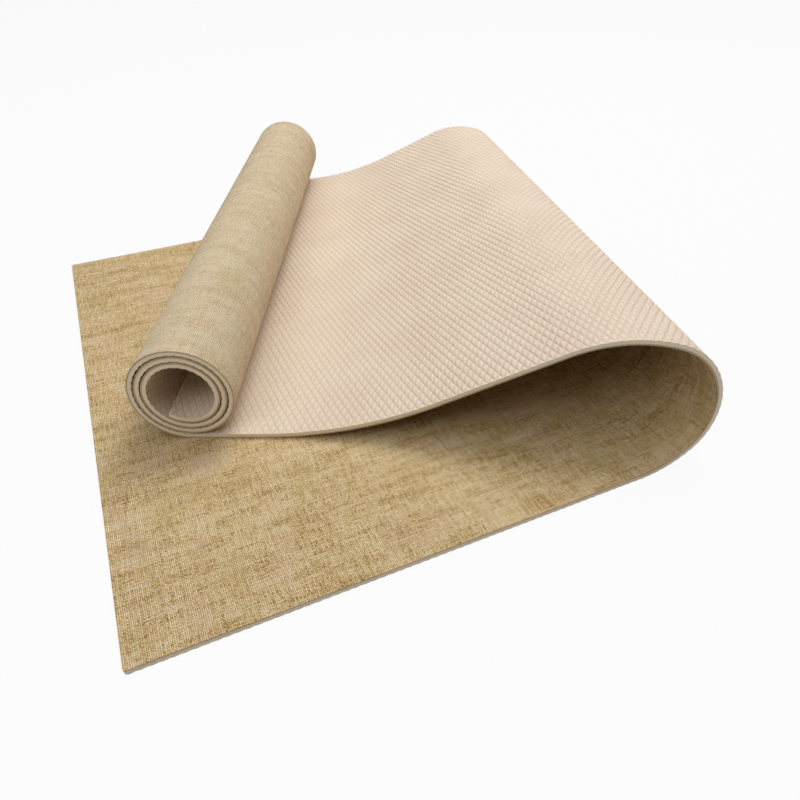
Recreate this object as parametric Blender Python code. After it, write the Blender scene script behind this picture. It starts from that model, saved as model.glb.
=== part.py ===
"""Jute-faced exercise mat, half unrolled: a flat run on the floor, a soft fold at one end, and a roll on top.

The mat is one laminate of three plies: a foam base, a bond film and a woven jute face. It is bent, never
stretched, so every shape here is the flat mat folded about straight bend lines. A place on the flat mat is
given by u along its length, v across it from the middle line, and h through it from the middle of its
thickness, with the jute side at +h. The floor run lies on the plane z = 0, the middle of its underside is the
origin, and the roll on top lies along Y, so the floor run lies askew.
"""

import math
from typing import NamedTuple

import bmesh
import bpy
from mathutils import Matrix, Vector

# The mat as it is cut
MAT_LENGTH = 1.727
MAT_WIDTH = 0.610

# Its plies, from the floor up
FOAM_THICKNESS = 0.0038
FILM_THICKNESS = 0.0002
JUTE_THICKNESS = 0.0008
PLY_GAP = 0.0001

# The floor run, along the middle line, from the free end to where the mat lifts
FLOOR_RUN_LENGTH = 0.489

# The fold, as three arcs of the middle surface
LIFT_RADIUS = 0.0863
LIFT_TURN = math.radians(30.6)
LIFT_HINGES = 1
NOSE_RADIUS = 0.0449
NOSE_TURN = math.radians(132.1)
NOSE_HINGES = 4
CROWN_RADIUS = 0.1055
CROWN_TURN = math.radians(43.5)
CROWN_HINGES = 1

# How far the bend lines lean from square to the length, at the fold's start, middle and end
FOLD_TILTS = (math.radians(14.1), math.radians(12.4), math.radians(9.2))

# The settle, where the sloping upper run turns level again
SETTLE_RADIUS = 0.353
SETTLE_HINGES = 2

# The roll
ROLL_HOLE_RADIUS = 0.025
TURN_CLEARANCE = 0.00106
ROLL_LEAD = 0.003
FACETS_PER_TURN = 32

# Clearances
REST_CLEARANCE = 0.0003
HINGE_CLEARANCE = 0.0003

BENDS_PER_HINGE = 9
HINGE_BEND = BENDS_PER_HINGE // 2
HINGE_EMPTY_SIZE = 0.05

MAT_THICKNESS = FOAM_THICKNESS + FILM_THICKNESS + JUTE_THICKNESS + 2 * PLY_GAP
HALF_THICKNESS = MAT_THICKNESS / 2
HALF_WIDTH = MAT_WIDTH / 2
UPPER_RUN_HEIGHT = MAT_THICKNESS + REST_CLEARANCE + HALF_THICKNESS
ROLL_PITCH = MAT_THICKNESS + TURN_CLEARANCE


class Ply(NamedTuple):
    """One ply of the laminate: the heights of its two faces and its look."""

    name: str
    low: float
    high: float
    color: tuple
    roughness: float


class Arc(NamedTuple):
    """One stretch of the fold with a single radius."""

    radius: float
    turn: float
    hinges: int


class Bend(NamedTuple):
    """A straight bend line: where it crosses the middle line, its lean, and how far the mat turns up there."""

    station: float
    tilt: float
    angle: float
    is_hinge: bool


class Rib(NamedTuple):
    """A section across the mat. Its frame has Y along the section and Z out of the jute side."""

    frame: Matrix
    tilt: float
    stretch: float


FILM_LOW = FOAM_THICKNESS + PLY_GAP - HALF_THICKNESS
JUTE_LOW = HALF_THICKNESS - JUTE_THICKNESS
PLIES = (
    Ply("foam", -HALF_THICKNESS, FOAM_THICKNESS - HALF_THICKNESS, (0.72, 0.58, 0.46, 1.0), 0.72),
    Ply("film", FILM_LOW, FILM_LOW + FILM_THICKNESS, (0.10, 0.07, 0.04, 1.0), 0.50),
    Ply("jute", JUTE_LOW, HALF_THICKNESS, (0.50, 0.36, 0.17, 1.0), 0.92),
)
FOLD_ARCS = (
    Arc(LIFT_RADIUS, LIFT_TURN, LIFT_HINGES),
    Arc(NOSE_RADIUS, NOSE_TURN, NOSE_HINGES),
    Arc(CROWN_RADIUS, CROWN_TURN, CROWN_HINGES),
)
FOLD_LENGTH = sum(arc.radius * arc.turn for arc in FOLD_ARCS)


def clear_scene():
    """Remove every object that a new file starts with."""
    for obj in list(bpy.data.objects):
        bpy.data.objects.remove(obj, do_unlink=True)


def fold_tilt(station):
    """The lean of a bend line of the fold, read between its start, middle and end."""
    share = (station - FLOOR_RUN_LENGTH) / FOLD_LENGTH * (len(FOLD_TILTS) - 1)
    step = min(int(share), len(FOLD_TILTS) - 2)
    return FOLD_TILTS[step] + (FOLD_TILTS[step + 1] - FOLD_TILTS[step]) * (share - step)


def fold_bends():
    """The bend lines of the fold, evenly spaced along each of its arcs."""
    bends = []
    start = FLOOR_RUN_LENGTH
    for arc in FOLD_ARCS:
        count = arc.hinges * BENDS_PER_HINGE
        spacing = arc.radius * arc.turn / count
        for index in range(count):
            station = start + spacing * (index + 0.5)
            is_hinge = index % BENDS_PER_HINGE == HINGE_BEND
            bends.append(Bend(station, fold_tilt(station), arc.turn / count, is_hinge))
        start += arc.radius * arc.turn
    return bends


def bend_turn(bend, share):
    """The turn about a bend line, in the flat mat's own coordinates, for a share of its angle."""
    pivot = Matrix.Translation((bend.station, 0, 0))
    axis = Vector((math.sin(bend.tilt), math.cos(bend.tilt), 0))
    return pivot @ Matrix.Rotation(-bend.angle * share, 4, axis) @ pivot.inverted()


def bend_rib(facet, bend):
    """The section along a bend line, halfway between the two flat facets that meet there."""
    frame = facet @ bend_turn(bend, 0.5) @ Matrix.Translation((bend.station, 0, 0))
    frame = frame @ Matrix.Rotation(-bend.tilt, 4, "Z")
    return Rib(frame, bend.tilt, 1 / math.cos(bend.angle / 2))


def settle_bends(facet):
    """The bend lines that bring a sloping facet level just above the floor run.

    Level ground meets the sloping upper run along one level direction, so all of them lie that way. The
    straight stretch before them takes up whatever height the turn itself does not.
    """
    normal = facet.to_3x3() @ Vector((0, 0, 1))
    slope = math.acos(min(1, -normal.z))
    level = facet.to_3x3().inverted() @ normal.cross(Vector((0, 0, 1)))
    level *= math.copysign(1, level.y)
    tilt = math.atan2(level.x, level.y)
    fold_end = facet @ Vector((FLOOR_RUN_LENGTH + FOLD_LENGTH, 0, 0))
    drop = fold_end.z - UPPER_RUN_HEIGHT - SETTLE_RADIUS * (1 - math.cos(slope))
    straight = drop / math.sin(slope) / math.cos(tilt)
    start = FLOOR_RUN_LENGTH + FOLD_LENGTH + straight
    count = SETTLE_HINGES * BENDS_PER_HINGE
    spacing = SETTLE_RADIUS * slope / math.cos(tilt) / count
    return [
        Bend(start + spacing * (index + 0.5), tilt, -slope / count, index % BENDS_PER_HINGE == HINGE_BEND)
        for index in range(count)
    ]


def bent_ribs(facet, bends):
    """The ribs of a run of bends, and the facet that follows the last of them."""
    ribs = []
    for bend in bends:
        ribs.append(bend_rib(facet, bend))
        facet = facet @ bend_turn(bend, 1)
    return ribs, facet


def roll_start(bends):
    """Where the roll begins: past the last bend line at the edge that it reaches last."""
    last = bends[-1]
    return last.station + abs(math.tan(last.tilt)) * HALF_WIDTH + ROLL_LEAD


def roll_turn(length):
    """The angle that a length of mat winds through, from the hole's radius out."""
    inner = ROLL_HOLE_RADIUS + HALF_THICKNESS
    wound = math.sqrt(inner**2 + ROLL_PITCH * length / math.pi)
    return 2 * math.pi / ROLL_PITCH * (wound - inner)


def roll_ribs(facet, start):
    """The ribs of the roll, which winds up and inwards on its foam side to the mat's inner end."""
    turn = roll_turn(MAT_LENGTH - start)
    inner = ROLL_HOLE_RADIUS + HALF_THICKNESS
    outer = inner + ROLL_PITCH * turn / (2 * math.pi)
    center = facet @ Matrix.Translation((start, 0, -outer))
    step = 2 * math.pi / FACETS_PER_TURN
    ribs = []
    for angle in [index * step for index in range(math.ceil(turn / step))] + [turn]:
        radius = outer - ROLL_PITCH * angle / (2 * math.pi)
        frame = center @ Matrix.Rotation(angle, 4, "Y") @ Matrix.Translation((0, 0, radius))
        ribs.append(Rib(frame, 0, 1))
    return ribs


def shifted(rib, distance):
    """A rib moved along the mat."""
    return Rib(rib.frame @ Matrix.Translation((distance, 0, 0)), rib.tilt, rib.stretch)


def corners(rib, ply):
    """The four corners of a ply's section at a rib."""
    reach = HALF_WIDTH / math.cos(rib.tilt)
    low, high = ply.low * rib.stretch, ply.high * rib.stretch
    section = ((-reach, low), (reach, low), (reach, high), (-reach, high))
    return [rib.frame @ Vector((0, along, height)) for along, height in section]


def ply_mesh(name, ribs, ply, to_local):
    """A ply drawn out from its first section to its last, as one closed body."""
    shape = bmesh.new()
    section = [shape.verts.new(to_local @ corner) for corner in corners(ribs[0], ply)]
    leading = shape.faces.new(section)
    shape.faces.new(reversed([shape.verts.new(vert.co) for vert in section]))
    for rib in ribs[1:]:
        places = [to_local @ corner for corner in corners(rib, ply)]
        drawn = bmesh.ops.extrude_face_region(shape, geom=[leading])["geom"]
        bmesh.ops.delete(shape, geom=[leading], context="FACES_ONLY")
        leading = next(item for item in drawn if isinstance(item, bmesh.types.BMFace))
        for loop, place in zip(leading.loops, places):
            loop.vert.co = place
    bmesh.ops.remove_doubles(shape, verts=shape.verts, dist=PLY_GAP / 100)
    bmesh.ops.recalc_face_normals(shape, faces=shape.faces)
    mesh = bpy.data.meshes.new(name)
    shape.to_mesh(mesh)
    shape.free()
    return mesh


def material(ply):
    """The ply's finish."""
    finish = bpy.data.materials.new(ply.name)
    finish.use_nodes = True
    shader = finish.node_tree.nodes["Principled BSDF"]
    shader.inputs["Base Color"].default_value = ply.color
    shader.inputs["Roughness"].default_value = ply.roughness
    shader.inputs["Metallic"].default_value = 0
    return finish


def hinge_frame(rib, side):
    """The frame of a hinge line, which lies in the skin on the outside of its bend."""
    return rib.frame @ Matrix.Translation((0, 0, side * HALF_THICKNESS * rib.stretch))


def add_hinge(name, frame, parent):
    """An empty on a hinge line, carried by the segment before it."""
    empty = bpy.data.objects.new(name, None)
    empty.empty_display_size = HINGE_EMPTY_SIZE
    bpy.context.scene.collection.objects.link(empty)
    empty.parent = parent
    empty.matrix_basis = parent.matrix_world.inverted() @ frame if parent else frame
    bpy.context.view_layer.update()
    return empty


def add_segment(name, ribs, parent, finishes):
    """The three plies of one segment of the mat, placed on the hinge that carries it."""
    to_local = parent.matrix_world.inverted()
    for ply in PLIES:
        node = f"{name}_{ply.name}"
        mesh = ply_mesh(node, ribs, ply, to_local)
        mesh.materials.append(finishes[ply.name])
        mesh.shade_smooth()
        mesh.set_sharp_from_angle(angle=math.pi / 4)
        obj = bpy.data.objects.new(node, mesh)
        bpy.context.scene.collection.objects.link(obj)
        obj.parent = parent


def segment_names():
    """The segments from the free end to the roll. A hinge lies between each and the next."""
    folds = sum(arc.hinges for arc in FOLD_ARCS) - 1
    names = ["floor_run"] + [f"fold_{index + 1:02d}" for index in range(folds)] + ["upper_run"]
    return names + [f"settle_{index + 1}" for index in range(SETTLE_HINGES - 1)] + ["roll"]


def square_to_roll(facet):
    """The turn about the upright axis that brings the section of a level facet onto Y."""
    axis = facet.to_3x3() @ Vector((0, 1, 0))
    return Matrix.Rotation(math.atan2(axis.x, axis.y), 4, "Z")


def mat_ribs():
    """Every rib of the mat in order, with its bend line, or None where it has none. The roll lies along Y."""
    flat = Matrix.Translation((-FLOOR_RUN_LENGTH / 2, 0, HALF_THICKNESS))
    fold = fold_bends()
    fold_ribs, facet = bent_ribs(flat, fold)
    settle = settle_bends(facet)
    settle_ribs, facet = bent_ribs(facet, settle)
    roll = roll_ribs(facet, roll_start(settle))
    turn = square_to_roll(facet)
    ribs = [Rib(flat, 0, 1)] + fold_ribs + settle_ribs + roll
    ribs = [Rib(turn @ rib.frame, rib.tilt, rib.stretch) for rib in ribs]
    return ribs, [None] + fold + settle + [None] * len(roll)


def hinge_lines(ribs, bends):
    """The index of each hinge's rib, with the hinge's frame."""
    lines = []
    for index, bend in enumerate(bends):
        if bend and bend.is_hinge:
            lines.append((index, hinge_frame(ribs[index], -math.copysign(1, bend.angle))))
    return lines


def least_turn_gap(ribs):
    """The least distance between the foam face of one turn and the jute face of the next turn in."""
    foam = [rib.frame @ Vector((0, 0, -HALF_THICKNESS)) for rib in ribs]
    jute = [rib.frame @ Vector((0, 0, HALF_THICKNESS)) for rib in ribs]
    pairs = zip(foam, jute[FACETS_PER_TURN:])
    return min((outer - inner).length for outer, inner in pairs)


def build():
    """Model the mat, segment by segment, from its free end to the roll."""
    clear_scene()
    finishes = {ply.name: material(ply) for ply in PLIES}
    ribs, bends = mat_ribs()
    lines = hinge_lines(ribs, bends)
    names = segment_names()
    carrier = add_hinge("mat_origin", Matrix.Identity(4), None)
    first = 0
    for name, (index, frame) in zip(names, lines):
        start = [shifted(ribs[first], HINGE_CLEARANCE / 2)] if first else [ribs[first]]
        end = [shifted(ribs[index], -HINGE_CLEARANCE / 2)]
        add_segment(name, start + ribs[first + 1 : index] + end, carrier, finishes)
        carrier = add_hinge(f"{names[names.index(name) + 1]}_hinge", frame, carrier)
        first = index
    rest = [shifted(ribs[first], HINGE_CLEARANCE / 2)] + ribs[first + 1 :]
    add_segment(names[-1], rest, carrier, finishes)
    roll = [rib for rib, bend in zip(ribs, bends) if bend is None][1:]
    print(f"least gap between turns {least_turn_gap(roll):.5f} m over {len(roll) - 1} facets")


build()
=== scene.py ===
"""Jute-faced exercise mat, half unrolled: its embossed foam, its bond line and its woven face.

The mat is one laminate that is bent and never stretched, so every ply is cut flat first and then
laid in its bent shape. A place on the flat mat is given by u along its length, v across it from the
middle line, and h through it from the middle of its thickness, with the jute side at +h.
"""

import logging
import math
from dataclasses import dataclass, field
from enum import Enum

import bmesh
import bpy
import numpy as np
from mathutils import Matrix, Vector


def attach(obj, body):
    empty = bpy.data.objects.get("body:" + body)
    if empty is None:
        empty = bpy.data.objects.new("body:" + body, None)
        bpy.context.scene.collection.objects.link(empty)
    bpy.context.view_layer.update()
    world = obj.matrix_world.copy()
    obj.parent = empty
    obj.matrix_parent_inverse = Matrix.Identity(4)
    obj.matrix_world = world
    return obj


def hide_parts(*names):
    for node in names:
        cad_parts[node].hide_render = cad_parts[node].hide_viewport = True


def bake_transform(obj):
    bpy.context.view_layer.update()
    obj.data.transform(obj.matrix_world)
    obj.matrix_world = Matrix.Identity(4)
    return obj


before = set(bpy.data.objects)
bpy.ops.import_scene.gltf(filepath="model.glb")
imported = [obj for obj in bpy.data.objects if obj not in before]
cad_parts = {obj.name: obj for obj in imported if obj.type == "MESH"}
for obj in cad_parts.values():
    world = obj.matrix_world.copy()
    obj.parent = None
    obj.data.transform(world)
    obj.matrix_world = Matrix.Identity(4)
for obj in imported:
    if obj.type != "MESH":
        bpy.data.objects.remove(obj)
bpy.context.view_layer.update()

log = logging.getLogger("mat")

# The attribute that keeps each point's place on the flat mat.
FLAT = "flat"
ROWS_AT_ONCE = 20000
RIM_ANGLE = math.radians(50)
WELD = 0.00002

MAT_WIDTH = 0.610
DIAMONDS_ACROSS = 43
# A corner's quarter round is trimmed in steps, at these angles from the mat's length.
CORNER_TRIMS = (math.pi / 8, math.pi / 4, math.pi * 3 / 8)

# Sockets of the nodes that give the same name to several sockets.
MIX_FIRST, MIX_SECOND, MIX_RESULT = 6, 7, 2
RANGE_TO_LOW, RANGE_TO_HIGH = 3, 4
# A new colour ramp has this many stops.
FIRST_STOPS = 2
# Most of a noise's values lie in this range.
NOISE_RANGE = (0.3, 0.7)
NOISE_MIDDLE = 0.5


def tone(red: float, green: float, blue: float) -> tuple[float, float, float, float]:
    """Turn a colour as a screen shows it, 0 to 255, into the linear colour that a shader takes.

    Args:
        red: The red value.
        green: The green value.
        blue: The blue value.

    Returns:
        The linear colour, with full alpha.
    """
    linear = [
        share / 12.92 if share <= 0.04045 else ((share + 0.055) / 1.055) ** 2.4
        for share in (red / 255, green / 255, blue / 255)
    ]
    return (*linear, 1.0)


class Held(Enum):
    """How a stretch of the mat lies."""

    LAID = "laid"
    FOLDED = "folded"


class Grid(Enum):
    """How finely the emboss is cut, in cells from one diamond to the next."""

    FINE = 4
    COARSE = 2


@dataclass(frozen=True)
class Arc:
    """One stretch of the fold with a single radius."""

    radius: float
    turn: float
    hinges: int
    fineness: int


@dataclass(frozen=True)
class Crease:
    """A straight line across the flat mat, and how far the mat turns up along it.

    A line that the mat is only divided at has no turn.
    """

    station: float
    lean: float
    turn: float = 0.0


@dataclass(frozen=True)
class Stretch:
    """One stretch of the mat between two lines, and the bodies that carry it."""

    name: str
    start: Crease
    end: Crease
    bodies: tuple[str, ...]
    segments: tuple[str, ...]
    held: Held
    grid: Grid


@dataclass
class MatLay:
    """The mat's sizes and its bent shape."""

    length: float = 1.727
    width: float = MAT_WIDTH
    thickness: float = 0.005
    corner_radius: float = 0.0025
    floor_run: float = 0.489
    arcs: tuple[Arc, ...] = (
        Arc(radius=0.0863, turn=math.radians(30.6), hinges=1, fineness=3),
        Arc(radius=0.0449, turn=math.radians(132.1), hinges=4, fineness=3),
        Arc(radius=0.1055, turn=math.radians(43.5), hinges=1, fineness=4),
    )
    fold_leans: tuple[float, ...] = (math.radians(14.1), math.radians(12.4), math.radians(9.2))
    settle_radius: float = 0.353
    settle_hinges: int = 2
    settle_fineness: int = 2
    hole_radius: float = 0.025
    turn_clearance: float = 0.00106
    roll_lead: float = 0.003
    rest_clearance: float = 0.0003
    bends_per_hinge: int = 9
    creases: list[Crease] = field(default_factory=list, init=False)

    def __post_init__(self) -> None:
        """Work out the bend lines, the flat facets between them and the roll."""
        self.facets = [Matrix.Translation((-self.floor_run / 2, 0, self.thickness / 2))]
        self.settle_start, self.settle_end, fine_settle = self.settle_creases()
        for crease in self.fine_fold() + fine_settle:
            self.creases.append(crease)
            self.facets.append(self.facets[-1] @ self.turned(crease))
        axis = self.facets[-1].to_3x3() @ Vector((0, 1, 0))
        square = Matrix.Rotation(math.atan2(axis.x, axis.y), 4, "Z")
        self.facets = [square @ facet for facet in self.facets]
        normals = np.array([facet.to_3x3().col[2] for facet in self.facets])
        pairs = normals[:-1] + normals[1:]
        mitres = pairs / (1 + (normals[:-1] * normals[1:]).sum(axis=1))[:, None]
        self.mitres = np.vstack([normals[:1], mitres, normals[-1:]])
        self.frames = np.array([np.array(facet) for facet in self.facets])
        self.stations = np.array([crease.station for crease in self.creases])
        self.slants = np.tan([crease.lean for crease in self.creases])

    @property
    def fold_length(self) -> float:
        """The length of mat in the fold."""
        return sum(arc.radius * arc.turn for arc in self.arcs)

    @property
    def fold_end(self) -> float:
        """Where the fold ends on the middle line."""
        return self.floor_run + self.fold_length

    @property
    def half_width(self) -> float:
        """Half of the mat's width."""
        return self.width / 2

    @property
    def pitch(self) -> float:
        """How much the roll's radius grows with each turn."""
        return self.thickness + self.turn_clearance

    @property
    def inner_radius(self) -> float:
        """The radius of the middle of the mat at its inner end."""
        return self.hole_radius + self.thickness / 2

    def fold_lean(self, station: float) -> float:
        """Read how far the mat's bend lines lean at a place along the fold.

        Args:
            station: The place along the middle line.

        Returns:
            The lean from square to the length, in radians.
        """
        share = (station - self.floor_run) / self.fold_length * (len(self.fold_leans) - 1)
        step = min(int(share), len(self.fold_leans) - 2)
        first, second = self.fold_leans[step : step + 2]
        return first + (second - first) * (share - step)

    def fold_creases(self, fineness: list[int]) -> list[Crease]:
        """Space the fold's bend lines evenly along each of its arcs.

        Args:
            fineness: For each arc, how many lines stand for each bend of the frame.

        Returns:
            The bend lines, in order.
        """
        creases = []
        start = self.floor_run
        for arc, times in zip(self.arcs, fineness):
            count = arc.hinges * self.bends_per_hinge * times
            spacing = arc.radius * arc.turn / count
            for index in range(count):
                station = start + spacing * (index + 0.5)
                creases.append(Crease(station, self.fold_lean(station), arc.turn / count))
            start += arc.radius * arc.turn
        return creases

    def fine_fold(self) -> list[Crease]:
        """The fold's bend lines, as fine as the eye needs."""
        return self.fold_creases([arc.fineness for arc in self.arcs])

    def turned(self, crease: Crease) -> Matrix:
        """Work out the turn about a bend line.

        Args:
            crease: The bend line.

        Returns:
            The turn, in the flat mat's own coordinates.
        """
        pivot = Matrix.Translation((crease.station, 0, 0))
        axis = Vector((math.sin(crease.lean), math.cos(crease.lean), 0))
        return pivot @ Matrix.Rotation(-crease.turn, 4, axis) @ pivot.inverted()

    def settle_creases(self) -> tuple[Crease, Crease, list[Crease]]:
        """Work out the sag that brings the sloping upper run level above the floor run.

        Returns:
            The lines where the sag starts and ends, and its bend lines.
        """
        facet = self.facets[0]
        for crease in self.fold_creases([1] * len(self.arcs)):
            facet = facet @ self.turned(crease)
        normal = facet.to_3x3() @ Vector((0, 0, 1))
        slope = math.acos(min(1, -normal.z))
        level = facet.to_3x3().inverted() @ normal.cross(Vector((0, 0, 1)))
        level *= math.copysign(1, level.y)
        lean = math.atan2(level.x, level.y)
        # The middle of the mat that rests on the floor run lies one and a half thicknesses up.
        height = (facet @ Vector((self.fold_end, 0, 0))).z - self.thickness * 1.5
        height -= self.rest_clearance
        drop = height - self.settle_radius * (1 - math.cos(slope))
        start = self.fold_end + drop / math.sin(slope) / math.cos(lean)
        length = self.settle_radius * slope / math.cos(lean)
        count = self.settle_hinges * self.bends_per_hinge * self.settle_fineness
        creases = [
            Crease(start + length / count * (index + 0.5), lean, -slope / count)
            for index in range(count)
        ]
        return Crease(start, lean), Crease(start + length, lean), creases

    @property
    def roll_start(self) -> float:
        """Where the roll begins: past the last bend of the frame, at the edge it reaches last.

        Returns:
            The place along the mat.
        """
        bends = self.settle_hinges * self.bends_per_hinge
        length = self.settle_end.station - self.settle_start.station
        last = self.settle_end.station - length / bends / 2
        return last + abs(math.tan(self.settle_end.lean)) * self.half_width + self.roll_lead

    @property
    def outer_radius(self) -> float:
        """The radius of the middle of the mat where the roll begins."""
        wound = self.length - self.roll_start
        return math.sqrt(self.inner_radius**2 + self.pitch * wound / math.pi)

    def place(self, flat: np.ndarray) -> np.ndarray:
        """Lay places of the flat mat in its bent shape.

        Args:
            flat: One row of u, v and h for each place.

        Returns:
            One row of x, y and z for each place.
        """
        blocks = range(0, len(flat), ROWS_AT_ONCE)
        return np.vstack([self.place_rows(flat[start : start + ROWS_AT_ONCE]) for start in blocks])

    def place_rows(self, flat: np.ndarray) -> np.ndarray:
        """Lay a block of places of the flat mat in its bent shape.

        Args:
            flat: One row of u, v and h for each place.

        Returns:
            One row of x, y and z for each place.
        """
        u, v, h = flat.T
        lines = self.stations + np.outer(v, self.slants)
        passed = (u[:, None] > lines).sum(axis=1)
        row = np.arange(len(u))
        last = len(self.stations)
        # Before the first line and after the last one, any place a little way off will do.
        before = np.where(passed > 0, lines[row, np.maximum(passed - 1, 0)], u - 1)
        after = np.where(passed < last, lines[row, np.minimum(passed, last - 1)], u + 1)
        share = ((u - before) / (after - before))[:, None]
        rise = self.mitres[passed] * (1 - share) + self.mitres[passed + 1] * share
        frames = self.frames[passed]
        placed = frames[:, :3, 0] * u[:, None] + frames[:, :3, 1] * v[:, None]
        placed += frames[:, :3, 3]
        placed += rise * h[:, None]
        wound = u > self.roll_start
        if wound.any():
            placed[wound] = self.wind(flat[wound])
        return placed

    def wind(self, flat: np.ndarray) -> np.ndarray:
        """Wind places of the flat mat into the roll.

        Args:
            flat: One row of u, v and h for each place past the roll's start.

        Returns:
            One row of x, y and z for each place.
        """
        u, v, h = flat.T
        outer = self.outer_radius
        radius = np.sqrt(outer**2 - self.pitch * (u - self.roll_start) / math.pi)
        angle = 2 * math.pi * (outer - radius) / self.pitch
        reach = radius + h
        core = np.array(self.facets[-1] @ Matrix.Translation((self.roll_start, 0, -outer)))
        local = np.stack([reach * np.sin(angle), v, reach * np.cos(angle)], axis=1)
        return local @ core[:3, :3].T + core[:3, 3]

    def stretches(self) -> list[Stretch]:
        """Divide the mat where its bodies need it: each hinge gets a strip that bends across it.

        Returns:
            The stretches, from the free end to the roll.
        """
        floor, upper, settle, roll = ("floor_run",), ("upper_run",), ("settle_1",), ("roll",)
        laid, folded, fine, coarse = Held.LAID, Held.FOLDED, Grid.FINE, Grid.COARSE
        folds = sum(arc.hinges for arc in self.arcs)
        bodies = [*floor, *[f"fold_{index:02d}" for index in range(1, folds)], *upper]
        lines = [self.floor_run]
        for arc in self.arcs:
            last, spacing = lines[-1], arc.radius * arc.turn / arc.hinges
            lines += [last + spacing * (step + 1) for step in range(arc.hinges)]
        cuts = [Crease(line, self.fold_lean(min(line, self.fold_end))) for line in lines]
        found = [Stretch("floor_run", Crease(0, 0), cuts[0], floor, floor, laid, coarse)]
        for index in range(folds):
            name, pair = f"strip_{index + 1}", (bodies[index], bodies[index + 1])
            found.append(Stretch(name, cuts[index], cuts[index + 1], pair, pair[1:], folded, fine))
        sag_start, sag_end, end = self.settle_start, self.settle_end, Crease(self.length, 0)
        sag_middle = Crease((sag_start.station + sag_end.station) / 2, sag_end.lean)
        found += [
            Stretch("upper_run", cuts[-1], sag_start, upper, upper, laid, fine),
            Stretch("sag_1", sag_start, sag_middle, upper + settle, settle, laid, fine),
            Stretch("sag_2", sag_middle, sag_end, settle + roll, settle, laid, fine),
            Stretch("roll", sag_end, end, roll, roll, folded, coarse),
        ]
        return found


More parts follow.
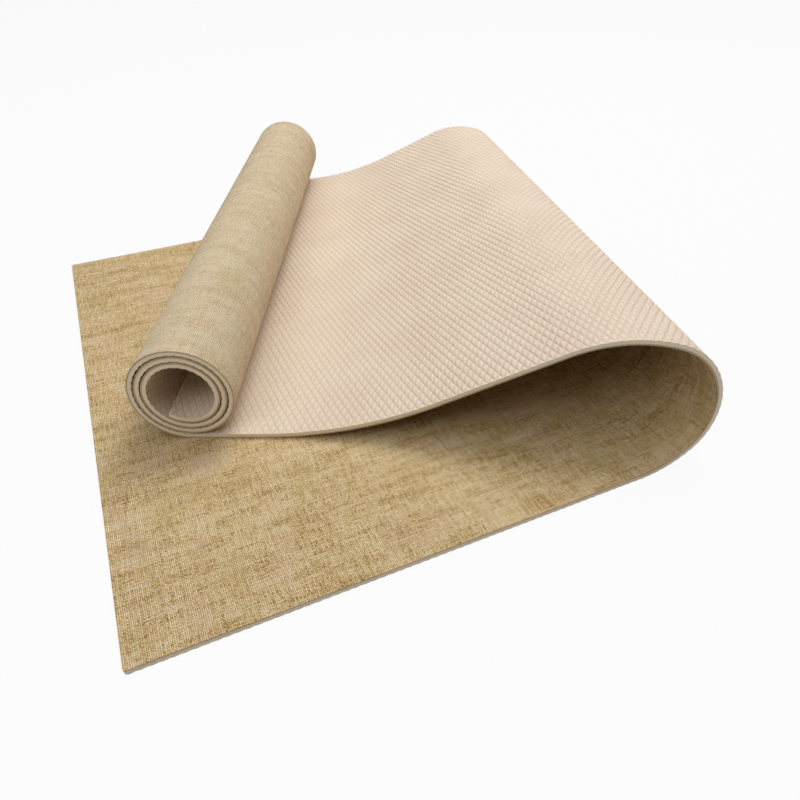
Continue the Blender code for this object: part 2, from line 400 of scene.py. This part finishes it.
class Bench:
    """Sets out and joins the nodes of one material."""

    def __init__(self, name: str) -> None:
        """Start a material.

        Args:
            name: The material's name.
        """
        self.material = bpy.data.materials.new(name)
        self.material.use_nodes = True
        self.tree = self.material.node_tree
        self.shader = self.tree.nodes["Principled BSDF"]

    def feed(self, socket: bpy.types.NodeSocket, value: object) -> None:
        """Join an output to a socket, or set the socket's own value.

        Args:
            socket: The socket to feed.
            value: An output socket, a number or a colour.
        """
        if isinstance(value, bpy.types.NodeSocket):
            self.tree.links.new(value, socket)
        else:
            socket.default_value = value

    def math(self, operation: str, *values: object) -> bpy.types.NodeSocket:
        """Add a sum.

        Args:
            operation: What to work out.
            *values: One to three numbers or outputs.

        Returns:
            The result's socket.
        """
        node = self.tree.nodes.new("ShaderNodeMath")
        node.operation = operation
        for socket, value in zip(node.inputs, values):
            self.feed(socket, value)
        return node.outputs[0]

    def vector(self, x: object, y: object, z: object) -> bpy.types.NodeSocket:
        """Put three numbers together as one place.

        Args:
            x: The first number or output.
            y: The second number or output.
            z: The third number or output.

        Returns:
            The place's socket.
        """
        node = self.tree.nodes.new("ShaderNodeCombineXYZ")
        for socket, value in zip(node.inputs, (x, y, z)):
            self.feed(socket, value)
        return node.outputs[0]

    def flat(self) -> tuple[bpy.types.NodeSocket, bpy.types.NodeSocket, bpy.types.NodeSocket]:
        """Read where on the flat mat a place lies.

        Returns:
            The sockets of u, v and h.
        """
        source = self.tree.nodes.new("ShaderNodeAttribute")
        source.attribute_name = FLAT
        parts = self.tree.nodes.new("ShaderNodeSeparateXYZ")
        self.feed(parts.inputs[0], source.outputs["Vector"])
        return tuple(parts.outputs)

    def noise(
        self,
        place: tuple[object, object, object],
        size: tuple[float, float, float],
        detail: float = 2.0,
        seed: float = 0.0,
    ) -> bpy.types.NodeSocket:
        """Add a soft random pattern.

        Args:
            place: The sockets of u, v and h.
            size: How long a patch is along u, v and h, in metres.
            detail: How many finer layers it has.
            seed: A number that picks one of many such patterns.

        Returns:
            The pattern's socket, about 0.5 on average.
        """
        scaled = [self.math("DIVIDE", part, length) for part, length in zip(place, size)]
        node = self.tree.nodes.new("ShaderNodeTexNoise")
        node.noise_dimensions = "4D"
        self.feed(node.inputs["Vector"], self.vector(*scaled))
        node.inputs["W"].default_value = seed
        node.inputs["Scale"].default_value = 1.0
        node.inputs["Detail"].default_value = detail
        return node.outputs[0]

    def ramp(
        self, value: object, low: float, high: float, first: float = 0.0, last: float = 1.0
    ) -> bpy.types.NodeSocket:
        """Spread a range of values over another and hold its ends.

        Args:
            value: The value's socket.
            low: Where the range starts.
            high: Where the range ends.
            first: What the start becomes.
            last: What the end becomes.

        Returns:
            The result's socket.
        """
        node = self.tree.nodes.new("ShaderNodeMapRange")
        node.interpolation_type = "SMOOTHSTEP"
        for socket, part in zip(node.inputs, (value, low, high, first, last)):
            self.feed(socket, part)
        return node.outputs[0]

    def mix(self, share: object, first: object, second: object) -> bpy.types.NodeSocket:
        """Mix two colours.

        Args:
            share: How much of the second colour shows.
            first: The first colour.
            second: The second colour.

        Returns:
            The mixed colour's socket.
        """
        node = self.tree.nodes.new("ShaderNodeMix")
        node.data_type = "RGBA"
        self.feed(node.inputs[0], share)
        self.feed(node.inputs[MIX_FIRST], first)
        self.feed(node.inputs[MIX_SECOND], second)
        return node.outputs[MIX_RESULT]

    def shades(self, value: object, stops: tuple) -> bpy.types.NodeSocket:
        """Pick a colour from a row of shades.

        Args:
            value: The value's socket.
            stops: The row: each a value and its colour, in order.

        Returns:
            The colour's socket.
        """
        node = self.tree.nodes.new("ShaderNodeValToRGB")
        row = node.color_ramp.elements
        for index, (position, color) in enumerate(stops):
            stop = row[index] if index < FIRST_STOPS else row.new(position)
            stop.position = position
            stop.color = color
        self.feed(node.inputs[0], value)
        return node.outputs[0]

    def rim(self, place: tuple, lay: MatLay) -> bpy.types.NodeSocket:
        """Tell the faces that are cut along the mat's outline from the rest.

        Args:
            place: The sockets of u, v and h.
            lay: The mat's sizes.

        Returns:
            The socket, 1 on a cut face and 0 elsewhere.
        """
        out = self.math("ABSOLUTE", place[1])
        along = self.math("ABSOLUTE", self.math("SUBTRACT", place[0], lay.length / 2))
        side = self.math("GREATER_THAN", out, lay.half_width - WELD)
        end = self.math("GREATER_THAN", along, lay.length / 2 - WELD)
        return self.math("MAXIMUM", side, end)

    def bump(self, height: object, distance: float) -> None:
        """Give the surface a fine relief.

        Args:
            height: The relief's socket, 0 to 1.
            distance: How deep a height of 1 is, in metres.
        """
        node = self.tree.nodes.new("ShaderNodeBump")
        node.inputs["Distance"].default_value = distance
        self.feed(node.inputs["Height"], height)
        self.feed(self.shader.inputs["Normal"], node.outputs[0])


@dataclass(frozen=True)
class Emboss:
    """The pattern pressed into the foam's underside: a lattice of diamonds with narrow grooves.

    Along and across are the diamonds' two diagonals. The lines of the foam's grid crowd towards the
    grooves, by a share of the distance from one groove to the next.
    """

    along: float = 0.0071
    across: float = MAT_WIDTH / DIAMONDS_ACROSS
    depth: float = 0.0006
    sharpness: float = 5.0
    crowding: float = 0.13

    def relief(self, flat: np.ndarray) -> np.ndarray:
        """Work out how far the surface is pressed in.

        Args:
            flat: One row of u, v and h for each place.

        Returns:
            The depth at each place.
        """
        u = 2 * np.pi * flat[:, 0] / self.along
        v = 2 * np.pi * flat[:, 1] / self.across
        nearness = (1 - np.minimum(np.cos(u + v), np.cos(u - v))) / 2
        return self.depth * nearness**self.sharpness

    def grid(self, shape: bmesh.types.BMesh, low: Vector, high: Vector, cells: int) -> None:
        """Make a grid that is in step with the diamonds, over at least the given box.

        Args:
            shape: The shape that the grid goes into.
            low: The box's lowest corner.
            high: The box's highest corner.
            cells: How many cells there are from one diamond to the next.
        """
        spread = high.y / self.across
        start = math.floor((low.x / self.along - spread) * cells) / cells
        end = math.ceil((high.x / self.along + spread) * cells) / cells
        count = round((end - start) * cells)
        middle = (start + end) / 2
        place = Matrix.Translation((middle, middle, 0))
        bmesh.ops.create_grid(
            shape, x_segments=count, y_segments=count, size=(end - start) / 2, matrix=place
        )
        for point in shape.verts:
            point.co.x += self.crowding * math.sin(2 * math.pi * point.co.x)
            point.co.y += self.crowding * math.sin(2 * math.pi * point.co.y)
        stretch = Matrix(
            (
                (self.along / 2, self.along / 2, 0, 0),
                (self.across / 2, -self.across / 2, 0, 0),
                (0, 0, 1, 0),
                (0, 0, 0, 1),
            )
        )
        bmesh.ops.transform(shape, matrix=stretch, verts=shape.verts)


@dataclass(frozen=True)
class FoamFinish:
    """Closed-cell foam: pinkish beige, with painted shade in the grooves of its emboss, and painted
    light that makes its cut faces paler.
    """

    name: str = "foam"
    light: tuple = tone(235, 218, 196)
    deep: tuple = tone(231, 210, 189)
    # Painted shade: a darker tone laid into the emboss's grooves, in place of the shade that falls
    # there.
    painted_groove_shade: tuple = tone(176, 146, 120)
    painted_groove_shade_share: float = 0.2
    # Painted light: a paler tone for the cut faces, which lifts these dimly lit faces.
    cut: tuple = tone(250, 232, 204)
    rough: float = 0.62
    gloss: float = 0.35
    patch: float = 0.07
    cell: float = 0.0007
    cell_share: float = 0.12
    bump_depth: float = 0.0004

    def material(self, emboss: Emboss, lay: MatLay) -> bpy.types.Material:
        """Make the foam's material.

        Args:
            emboss: The emboss that the grooves follow.
            lay: The mat's sizes.

        Returns:
            The material.
        """
        bench = Bench(self.name)
        place = bench.flat()
        u, v, h = place
        along = bench.math("MULTIPLY", u, 2 * math.pi / emboss.along)
        across = bench.math("MULTIPLY", v, 2 * math.pi / emboss.across)
        first, second = [
            bench.math("COSINE", bench.math(way, along, across)) for way in ("ADD", "SUBTRACT")
        ]
        away = bench.math("MINIMUM", first, second)
        nearness = bench.math("MULTIPLY", bench.math("SUBTRACT", 1.0, away), 0.5)
        under = bench.ramp(h, -lay.thickness / 2, -lay.thickness / 2 + WELD, 1.0, 0.0)
        sunk = bench.math("MULTIPLY", under, bench.math("POWER", nearness, emboss.sharpness))
        patch = bench.ramp(bench.noise(place, (self.patch,) * 3), *NOISE_RANGE)
        color = bench.mix(patch, self.light, self.deep)
        # Painted shade: the colour darkens in the grooves, by how deep they are.
        color = bench.mix(bench.math("MULTIPLY", sunk, self.painted_groove_shade_share), color, self.painted_groove_shade)
        # Painted light: the faces cut along the outline take the paler tone.
        color = bench.mix(bench.rim(place, lay), color, self.cut)
        bench.feed(bench.shader.inputs["Base Color"], color)
        bench.shader.inputs["Roughness"].default_value = self.rough
        bench.shader.inputs["Specular IOR Level"].default_value = self.gloss
        cells = bench.noise(place, (self.cell,) * 3, detail=1.0, seed=3.0)
        cells = bench.math("MULTIPLY", cells, self.cell_share)
        bench.bump(bench.math("SUBTRACT", cells, sunk), self.bump_depth)
        return bench.material


@dataclass(frozen=True)
class BondFinish:
    """The adhesive line between foam and cloth."""

    name: str = "film"
    color: tuple = tone(140, 116, 86)
    dark: tuple = tone(110, 88, 64)
    rough: float = 0.55
    patch: float = 0.004

    def material(self) -> bpy.types.Material:
        """Make the bond line's material.

        Returns:
            The material.
        """
        bench = Bench(self.name)
        patches = bench.noise(bench.flat(), (self.patch,) * 3, detail=1.0)
        shade = bench.ramp(patches, *NOISE_RANGE)
        bench.feed(bench.shader.inputs["Base Color"], bench.mix(shade, self.color, self.dark))
        bench.shader.inputs["Roughness"].default_value = self.rough
        return bench.material


@dataclass(frozen=True)
class JuteFinish:
    """Plain-woven natural jute: golden yarns of uneven colour, with pale slubs and dark flecks.

    The cloth grows paler towards the end that is rolled up. Sizes of patches are along u, v and h.
    """

    name: str = "jute"
    yarn: float = 0.0014
    wander: float = 0.0008
    shades: tuple = (
        (0.20, tone(168, 132, 80)),
        (0.38, tone(222, 190, 134)),
        (0.54, tone(244, 215, 163)),
        (0.70, tone(255, 237, 198)),
    )
    pinkish: tuple = tone(246, 212, 184)
    olive: tuple = tone(208, 186, 122)
    # Painted shade: a dark tone for the gaps between the yarns, where shade falls in the weave.
    painted_gap_shade: tuple = tone(88, 62, 34)
    cut: tuple = tone(224, 202, 166)
    paler_from: float = 0.98
    paler_to: float = 1.06
    paler_tone: float = 0.08
    pale: tuple = tone(250, 238, 218)
    pale_share: float = 0.35
    rough: float = 0.9
    gloss: float = 0.2
    weave_depth: float = 0.0005
    sway: tuple = (0.020, 0.020, 0.020)
    yarn_height: float = 0.6
    wave_height: float = 0.4
    yarn_step: float = 3.7
    warp_slub: tuple = (0.028, 1.0, 1.0)
    weft_slub: tuple = (1.0, 0.018, 1.0)
    weft_darker: float = 0.03
    contrast: float = 1.2
    contrast_shift: float = -0.1
    patch: tuple = (0.060, 0.014, 0.05)
    patch_share: float = 0.55
    grain: tuple = (0.0017, 0.0014, 0.01)
    grain_share: float = 0.9
    hue: tuple = (0.035, 0.050, 0.05)
    pinkish_range: tuple = (0.52, 0.70, 0.0, 0.3)
    olive_range: tuple = (0.30, 0.48, 0.25, 0.0)
    painted_gap_shade_range: tuple = (0.20, 0.60, 0.9, 0.0)
    fuzz: tuple = (0.0007, 0.0007, 0.01)
    fuzz_share: float = 0.4

    def weave(self, bench: Bench, place: tuple) -> tuple:
        """Lay out the weave.

        Args:
            bench: The material's bench.
            place: The sockets of u, v and h.

        Returns:
            The sockets of the cloth's height and of the shade of the yarn on top.
        """
        total, times, less = "ADD", "MULTIPLY", "SUBTRACT"
        sway = bench.noise(place, self.sway, detail=1.0, seed=5.0)
        drift = bench.math(times, bench.math(less, sway, NOISE_MIDDLE), self.wander)
        turns = [
            bench.math("DIVIDE", bench.math(total, part, drift), self.yarn) for part in place[:2]
        ]
        wave_u, wave_v = [bench.math("COSINE", bench.math(times, turn, math.pi)) for turn in turns]
        over = bench.math(times, bench.math(times, wave_u, wave_v), self.wave_height)
        raised = bench.math(total, self.yarn_height, over)
        lengthwise = bench.math(times, bench.math("ABSOLUTE", wave_v), raised)
        lowered = bench.math(less, self.yarn_height, over)
        crosswise = bench.math(times, bench.math("ABSOLUTE", wave_u), lowered)
        warp_on_top = bench.math("GREATER_THAN", lengthwise, crosswise)
        height = bench.math("MAXIMUM", lengthwise, crosswise)
        # Each yarn takes its own line through the noise, so that each has slubs of its own.
        weft, warp = [
            bench.math(times, bench.math("ROUND", turn), self.yarn_step) for turn in turns
        ]
        warp_shade = bench.noise((place[0], warp, 0.0), self.warp_slub, seed=1.0)
        weft_shade = bench.noise((weft, place[1], 0.0), self.weft_slub, seed=2.0)
        weft_shade = bench.math(less, weft_shade, self.weft_darker)
        step = bench.math(times, warp_on_top, bench.math(less, warp_shade, weft_shade))
        shade = bench.math(total, weft_shade, step)
        return height, bench.math("MULTIPLY_ADD", shade, self.contrast, self.contrast_shift)

    def material(self, lay: MatLay) -> bpy.types.Material:
        """Make the jute's material.

        Args:
            lay: The mat's sizes.

        Returns:
            The material.
        """
        bench = Bench(self.name)
        place = bench.flat()
        height, shade = self.weave(bench, place)
        patch = bench.noise(place, self.patch, detail=3.0, seed=4.0)
        grain = bench.noise(place, self.grain, detail=1.0, seed=7.0)
        for part, share in ((patch, self.patch_share), (grain, self.grain_share)):
            part = bench.math("MULTIPLY", bench.math("SUBTRACT", part, NOISE_MIDDLE), share)
            shade = bench.math("ADD", shade, part)
        rolled = bench.ramp(place[0], self.paler_from, self.paler_to)
        shade = bench.math("ADD", shade, bench.math("MULTIPLY", rolled, self.paler_tone))
        color = bench.shades(shade, self.shades)
        color = bench.mix(bench.math("MULTIPLY", rolled, self.pale_share), color, self.pale)
        hue = bench.noise(place, self.hue, seed=9.0)
        color = bench.mix(bench.ramp(hue, *self.pinkish_range), color, self.pinkish)
        color = bench.mix(bench.ramp(hue, *self.olive_range), color, self.olive)
        # Painted shade: where the weave is low, between the yarns, the colour darkens.
        color = bench.mix(bench.ramp(height, *self.painted_gap_shade_range), color, self.painted_gap_shade)
        color = bench.mix(bench.rim(place, lay), color, self.cut)
        bench.feed(bench.shader.inputs["Base Color"], color)
        bench.shader.inputs["Roughness"].default_value = self.rough
        bench.shader.inputs["Specular IOR Level"].default_value = self.gloss
        fuzz = bench.noise(place, self.fuzz, detail=1.0, seed=31.0)
        fuzz = bench.math("MULTIPLY", fuzz, self.fuzz_share)
        bench.bump(bench.math("ADD", height, fuzz), self.weave_depth)
        return bench.material


@dataclass(frozen=True)
class Ply:
    """One ply of the laminate: its name, its two faces' heights, and how it is cut."""

    name: str
    suffix: str
    low: float
    high: float
    step_u: float = 0.002
    step_v: float = 0.005

    def grid(self, shape: bmesh.types.BMesh, low: Vector, high: Vector) -> None:
        """Make a plain grid over at least the given box, in step with the other stretches.

        Args:
            shape: The shape that the grid goes into.
            low: The box's lowest corner.
            high: The box's highest corner.
        """
        first = math.floor(low.x / self.step_u) * self.step_u
        count_u = math.ceil((high.x - first) / self.step_u)
        count_v = math.ceil(high.y / self.step_v) * 2
        reach_u, reach_v = count_u * self.step_u / 2, count_v * self.step_v / 2
        fit = Matrix.Translation((first + reach_u, 0, 0))
        fit @= Matrix.Diagonal((reach_u, reach_v, 1, 1))
        bmesh.ops.create_grid(shape, x_segments=count_u, y_segments=count_v, size=1, matrix=fit)


@dataclass
class Mat:
    """The whole mat: three plies, each in one piece for each stretch of the lay."""

    lay: MatLay = field(default_factory=MatLay)
    emboss: Emboss = field(default_factory=Emboss)
    foam: Ply = Ply("foam", "foam_base", low=-0.0025, high=0.0013)
    film: Ply = Ply("film", "bond_line", low=0.0014, high=0.0016)
    jute: Ply = Ply("jute", "jute_cloth", low=0.0017, high=0.0025)

    def build(self) -> list[bpy.types.Object]:
        """Make every piece of the mat.

        Returns:
            The pieces.
        """
        finishes = {
            "foam": FoamFinish().material(self.emboss, self.lay),
            "film": BondFinish().material(),
            "jute": JuteFinish().material(self.lay),
        }
        pieces = []
        for stretch in self.lay.stretches():
            for ply in (self.foam, self.film, self.jute):
                piece = self.piece(stretch, ply)
                piece.data.materials.append(finishes[ply.name])
                self.carry(piece, stretch, ply)
                self.declare(ply)
                log.info("%s: %d faces", piece.name, len(piece.data.polygons))
                pieces.append(piece)
        return pieces

    def piece(self, stretch: Stretch, ply: Ply) -> bpy.types.Object:
        """Cut one stretch of one ply flat, then lay it in its bent shape.

        Args:
            stretch: The stretch of the mat.
            ply: The ply.

        Returns:
            The piece.
        """
        shape = self.flat_shape(stretch, ply)
        mesh = bpy.data.meshes.new(f"{stretch.name}_{ply.suffix}")
        shape.to_mesh(mesh)
        shape.free()
        flat = np.zeros(len(mesh.vertices) * 3)
        mesh.vertices.foreach_get("co", flat)
        flat = flat.reshape(-1, 3)
        where = mesh.attributes.new(FLAT, "FLOAT_VECTOR", "POINT")
        where.data.foreach_set("vector", flat.astype(np.float32).ravel())
        if ply is self.foam:
            under = flat[:, 2] < (ply.low + ply.high) / 2
            flat[under, 2] += self.emboss.relief(flat[under])
        mesh.vertices.foreach_set("co", self.lay.place(flat).astype(np.float32).ravel())
        mesh.shade_smooth()
        mesh.set_sharp_from_angle(angle=RIM_ANGLE)
        mesh.update()
        piece = bpy.data.objects.new(mesh.name, mesh)
        bpy.context.scene.collection.objects.link(piece)
        return piece

    def flat_shape(self, stretch: Stretch, ply: Ply) -> bmesh.types.BMesh:
        """Cut one stretch of one ply out of a flat sheet, and give it its thickness.

        Args:
            stretch: The stretch of the mat.
            ply: The ply.

        Returns:
            The closed flat slab, as u, v and h.
        """
        half = self.lay.half_width
        leans = [abs(math.tan(line.lean)) * half for line in (stretch.start, stretch.end)]
        low = Vector((stretch.start.station - leans[0], -half, 0))
        high = Vector((stretch.end.station + leans[1], half, 0))
        shape = bmesh.new()
        if ply is self.foam:
            self.emboss.grid(shape, low, high, stretch.grid.value)
        else:
            ply.grid(shape, low, high)
        self.trim(shape, (0, half, 0), (0, 1, 0))
        self.trim(shape, (0, -half, 0), (0, -1, 0))
        for line, way in ((stretch.end, 1), (stretch.start, -1)):
            away = (way * math.cos(line.lean), -way * math.sin(line.lean), 0)
            self.trim(shape, (line.station, 0, 0), away)
        self.round_corners(shape)
        bmesh.ops.translate(shape, verts=shape.verts, vec=(0, 0, ply.low))
        grown = bmesh.ops.extrude_face_region(shape, geom=list(shape.faces))["geom"]
        top = [item for item in grown if isinstance(item, bmesh.types.BMVert)]
        bmesh.ops.translate(shape, verts=top, vec=(0, 0, ply.high - ply.low))
        bmesh.ops.recalc_face_normals(shape, faces=shape.faces)
        return shape

    def round_corners(self, shape: bmesh.types.BMesh) -> None:
        """Take the points off the mat's own corners.

        Args:
            shape: The sheet.
        """
        radius = self.lay.corner_radius
        for end, way in ((radius, -1), (self.lay.length - radius, 1)):
            for side in (-1, 1):
                for angle in CORNER_TRIMS:
                    away = Vector((way * math.cos(angle), side * math.sin(angle), 0))
                    middle = Vector((end, side * (self.lay.half_width - radius), 0))
                    self.trim(shape, middle + away * radius, away)

    @staticmethod
    def trim(shape: bmesh.types.BMesh, point: tuple, away: tuple) -> None:
        """Cut the sheet along a line and drop what lies past it.

        Args:
            shape: The sheet.
            point: A point on the line.
            away: The direction that is dropped.
        """
        geometry = [*shape.verts, *shape.edges, *shape.faces]
        bmesh.ops.bisect_plane(
            shape, geom=geometry, dist=WELD, plane_co=point, plane_no=away, clear_outer=True
        )

    def carry(self, piece: bpy.types.Object, stretch: Stretch, ply: Ply) -> None:
        """Hang a piece on its body; for a piece between two bodies, find where its bend starts and
        ends, and bake its place into its shape.

        Args:
            piece: The piece.
            stretch: The stretch of the mat that it covers.
            ply: Its ply.
        """
        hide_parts(*[f"{segment}_{ply.name}" for segment in stretch.segments])
        if len(stretch.bodies) == 1:
            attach(piece, stretch.bodies[0])
            return
        station = (stretch.start.station + stretch.end.station) / 2
        lean = (stretch.start.lean + stretch.end.lean) / 2
        # The bending runs square to the lines: a short step that way gives its direction.
        step = self.lay.rest_clearance
        ahead = (station + math.cos(lean) * step, -math.sin(lean) * step, 0)
        middle, ahead = self.lay.place(np.array([(station, 0, 0), ahead]))
        forward = (ahead - middle) / np.linalg.norm(ahead - middle)
        level = middle @ forward
        start = middle + forward * ((self.edge(stretch.start) @ forward).max() - level)
        end = middle + forward * ((self.edge(stretch.end) @ forward).min() - level)
        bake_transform(piece)

    def edge(self, line: Crease) -> np.ndarray:
        """Find the corners of the mat's section at a line.

        Args:
            line: The line.

        Returns:
            One row of x, y and z for each corner.
        """
        half, rise = self.lay.half_width, self.lay.thickness / 2
        slant = math.tan(line.lean)
        places = [(line.station + v * slant, v, h) for v in (-half, half) for h in (-rise, rise)]
        return self.lay.place(np.array(places))

    def declare(self, ply: Ply) -> None:
        """Take no step for the piece, whatever its ply.

        Args:
            ply: Its ply.
        """
        if ply is not self.jute:
            return


@dataclass(frozen=True)
class Lamp:
    """One broad soft lamp, which points at the middle of the floor run."""

    name: str
    power: float
    size: float
    place: tuple

    def build(self) -> None:
        """Hang the lamp."""
        data = bpy.data.lights.new(self.name, "AREA")
        data.energy = self.power
        data.size = self.size
        lamp = bpy.data.objects.new(self.name, data)
        bpy.context.scene.collection.objects.link(lamp)
        lamp.location = self.place
        lamp.rotation_mode = "QUATERNION"
        lamp.rotation_quaternion = (-Vector(self.place)).to_track_quat("-Z", "Y")


@dataclass
class Studio:
    """A white floor, soft even light and the camera."""

    floor_reach: float = 12.0
    floor_drop: float = 0.0002
    floor_white: float = 0.94
    floor_shade: tuple = tone(212, 212, 212)
    fill_strength: float = 0.05
    lamps: tuple[Lamp, ...] = (
        Lamp("key", power=30.0, size=1.2, place=(0.55, 1.00, 2.00)),
        Lamp("side", power=10.0, size=1.2, place=(-0.80, -1.40, 1.70)),
        Lamp("top", power=28.0, size=3.0, place=(-0.10, -0.10, 2.50)),
    )
    camera_place: tuple = (0.0938, -0.5939, 0.402)
    camera_yaw: float = math.radians(-1.65)
    camera_pitch: float = math.radians(39.1)
    camera_roll: float = math.radians(-1.2)
    focal_share: float = 660 / 800
    sensor: float = 36.0

    def build(self) -> None:
        """Set up the floor, the lights and the camera."""
        self.add_floor()
        self.add_world()
        for lamp in self.lamps:
            lamp.build()
        self.add_camera()
        bpy.context.scene.view_settings.view_transform = "Standard"

    @staticmethod
    def seen(tree: bpy.types.NodeTree) -> bpy.types.NodeSocket:
        """Add the test for a ray that shows the background.

        Args:
            tree: The nodes of the floor or the world.

        Returns:
            The socket, 1 for a ray from the camera, a gloss or a clear piece, and 0 for others.
        """
        path = tree.nodes.new("ShaderNodeLightPath")
        first = tree.nodes.new("ShaderNodeMath")
        first.operation = "MAXIMUM"
        second = tree.nodes.new("ShaderNodeMath")
        second.operation = "MAXIMUM"
        tree.links.new(path.outputs["Is Camera Ray"], first.inputs[0])
        tree.links.new(path.outputs["Is Glossy Ray"], first.inputs[1])
        tree.links.new(first.outputs[0], second.inputs[0])
        tree.links.new(path.outputs["Is Transmission Ray"], second.inputs[1])
        return second.outputs[0]

    def add_floor(self) -> None:
        """Lay the white floor, which keeps a faint shadow of the mat."""
        shape = bmesh.new()
        bmesh.ops.create_grid(shape, x_segments=1, y_segments=1, size=self.floor_reach)
        bmesh.ops.translate(shape, verts=shape.verts, vec=(0, 0, -self.floor_drop))
        mesh = bpy.data.meshes.new("floor")
        shape.to_mesh(mesh)
        shape.free()
        floor = bpy.data.objects.new("floor", mesh)
        bpy.context.scene.collection.objects.link(floor)
        material = bpy.data.materials.new("floor")
        material.use_nodes = True
        tree = material.node_tree
        shader = tree.nodes["Principled BSDF"]
        shader.inputs["Base Color"].default_value = self.floor_shade
        shader.inputs["Roughness"].default_value = 1.0
        shader.inputs["Specular IOR Level"].default_value = 0.0
        glow = tree.nodes.new("ShaderNodeEmission")
        mix = tree.nodes.new("ShaderNodeMixShader")
        share = tree.nodes.new("ShaderNodeMath")
        share.operation = "MULTIPLY"
        share.inputs[1].default_value = self.floor_white
        tree.links.new(self.seen(tree), share.inputs[0])
        tree.links.new(share.outputs[0], mix.inputs[0])
        tree.links.new(shader.outputs[0], mix.inputs[1])
        tree.links.new(glow.outputs[0], mix.inputs[2])
        tree.links.new(mix.outputs[0], tree.nodes["Material Output"].inputs["Surface"])
        mesh.materials.append(material)

    def add_world(self) -> None:
        """Make the world white to the eye and a soft fill light for the mat."""
        world = bpy.data.worlds.new("studio")
        world.use_nodes = True
        bpy.context.scene.world = world
        tree = world.node_tree
        strength = tree.nodes.new("ShaderNodeMapRange")
        tree.links.new(self.seen(tree), strength.inputs[0])
        strength.inputs[RANGE_TO_LOW].default_value = self.fill_strength
        strength.inputs[RANGE_TO_HIGH].default_value = 1.0
        background = tree.nodes["Background"]
        background.inputs["Color"].default_value = (1, 1, 1, 1)
        tree.links.new(strength.outputs[0], background.inputs["Strength"])

    def add_camera(self) -> None:
        """Stand the camera where the photograph was taken from."""
        data = bpy.data.cameras.new("camera")
        data.sensor_width = self.sensor
        data.lens = self.focal_share * self.sensor
        camera = bpy.data.objects.new("camera", data)
        bpy.context.scene.collection.objects.link(camera)
        camera.matrix_world = (
            Matrix.Translation(self.camera_place)
            @ Matrix.Rotation(-self.camera_yaw, 4, "Z")
            @ Matrix.Rotation(math.pi / 2 - self.camera_pitch, 4, "X")
            @ Matrix.Rotation(self.camera_roll, 4, "Z")
        )
        bpy.context.scene.camera = camera


def main() -> None:
    """Build the mat and the studio, and report each piece."""
    logging.basicConfig(level=logging.INFO, format="%(name)s: %(message)s")
    pieces = Mat().build()
    log.info("%d pieces", len(pieces))
    Studio().build()


if __name__ == "__main__":
    main()
